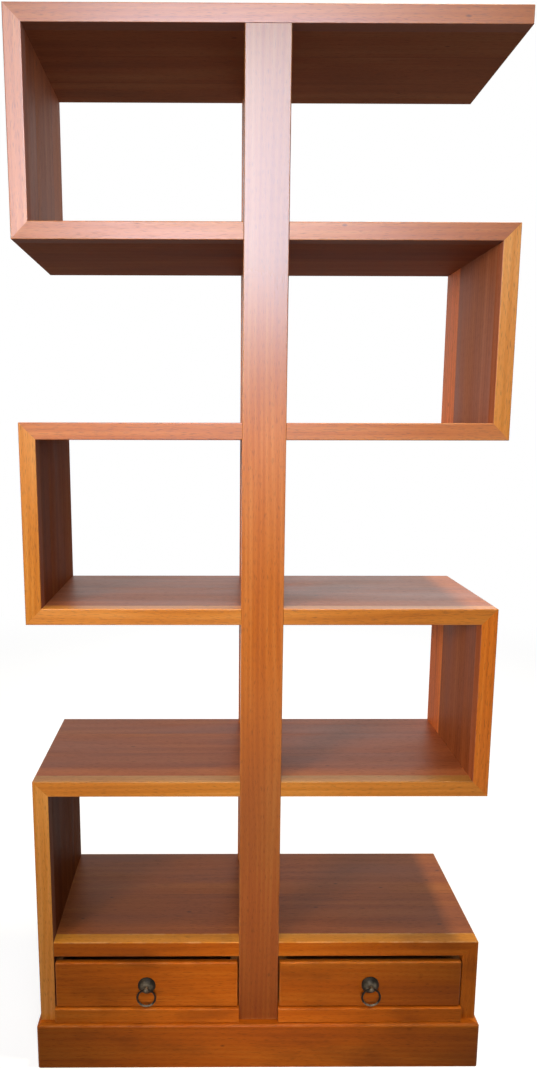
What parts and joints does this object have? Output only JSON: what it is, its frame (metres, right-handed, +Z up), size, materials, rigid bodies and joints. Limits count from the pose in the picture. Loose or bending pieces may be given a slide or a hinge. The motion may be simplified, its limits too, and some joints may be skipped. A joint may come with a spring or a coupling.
{
  "type": "zigzag bookshelf",
  "caption": "Free-standing wooden zigzag bookshelf with mitred shelves and sides, centre posts front and rear, and a plinth case with sliding drawers and ring pulls.",
  "frame": {"origin": "on the floor, under the middle of the outer box (the pulls included)", "axes": "+Z up, along the posts; +X to the right when facing the drawers; -Y is the front, where the drawers come out"},
  "size_m": [0.81, 0.3215, 1.792],
  "materials": {
    "panel_wood": "satin lacquer, red-brown",
    "lipping_wood": "satin lacquer, honey-brown",
    "inner_wood": "plain, sanded",
    "bronze": "dark antique bronze",
    "steel": "zinc plated"
  },
  "bodies": {
    "frame": {"shelf_1": "panel_wood", "shelf_1_lipping": "lipping_wood", "shelf_2": "panel_wood", "shelf_2_lipping": "lipping_wood", "shelf_3": "panel_wood", "shelf_3_lipping": "lipping_wood", "shelf_4": "panel_wood", "shelf_4_lipping": "lipping_wood", "shelf_5": "panel_wood", "shelf_5_lipping": "lipping_wood", "top_board": "panel_wood", "top_board_lipping": "lipping_wood", "lower_left_side": "panel_wood", "lower_left_side_lipping": "lipping_wood", "lower_right_side": "panel_wood", "lower_right_side_lipping": "lipping_wood", "middle_left_side": "panel_wood", "middle_left_side_lipping": "lipping_wood", "upper_right_side": "panel_wood", "upper_right_side_lipping": "lipping_wood", "upper_left_side": "panel_wood", "upper_left_side_lipping": "lipping_wood", "case_right_side": "panel_wood", "case_right_side_lipping": "lipping_wood", "case_floor": "panel_wood", "case_floor_lipping": "lipping_wood", "front_post": "lipping_wood", "rear_post": "lipping_wood", "plinth_front": "lipping_wood", "plinth_left": "lipping_wood", "plinth_right": "lipping_wood", "plinth_rear": "lipping_wood", "drawer_divider": "inner_wood", "left_drawer_guide": "inner_wood", "right_drawer_guide": "inner_wood", "case_back_panels": "inner_wood", "plinth_blocks": "inner_wood", "mitre_splines": "inner_wood", "case_dowels": "inner_wood", "post_dowels": "inner_wood"},
    "left_drawer": {"left_drawer_front": "lipping_wood", "left_drawer_inner_side": "inner_wood", "left_drawer_outer_side": "inner_wood", "left_drawer_back": "inner_wood", "left_drawer_bottom": "inner_wood", "left_pull_rosette": "bronze", "left_pull_eye": "bronze", "left_pull_nut": "steel"},
    "left_ring": {"left_pull_ring": "bronze"},
    "right_drawer": {"right_drawer_front": "lipping_wood", "right_drawer_inner_side": "inner_wood", "right_drawer_outer_side": "inner_wood", "right_drawer_back": "inner_wood", "right_drawer_bottom": "inner_wood", "right_pull_rosette": "bronze", "right_pull_eye": "bronze", "right_pull_nut": "steel"},
    "right_ring": {"right_pull_ring": "bronze"}
  },
  "joints": [
    {"name": "left_drawer_slide", "type": "slide", "parent": "frame", "child": "left_drawer", "axis": [0, -1, 0], "range_m": [0, 0.2]},
    {"name": "right_drawer_slide", "type": "slide", "parent": "frame", "child": "right_drawer", "axis": [0, -1, 0], "range_m": [0, 0.2]},
    {"name": "left_ring_swing", "type": "hinge", "parent": "left_drawer", "child": "left_ring", "pos_m": [-0.204, -0.15575, 0.1595], "axis": [-1, 0, 0], "range_deg": [0, 180]},
    {"name": "right_ring_swing", "type": "hinge", "parent": "right_drawer", "child": "right_ring", "pos_m": [0.204, -0.15575, 0.1595], "axis": [-1, 0, 0], "range_deg": [0, 180]}
  ]
}
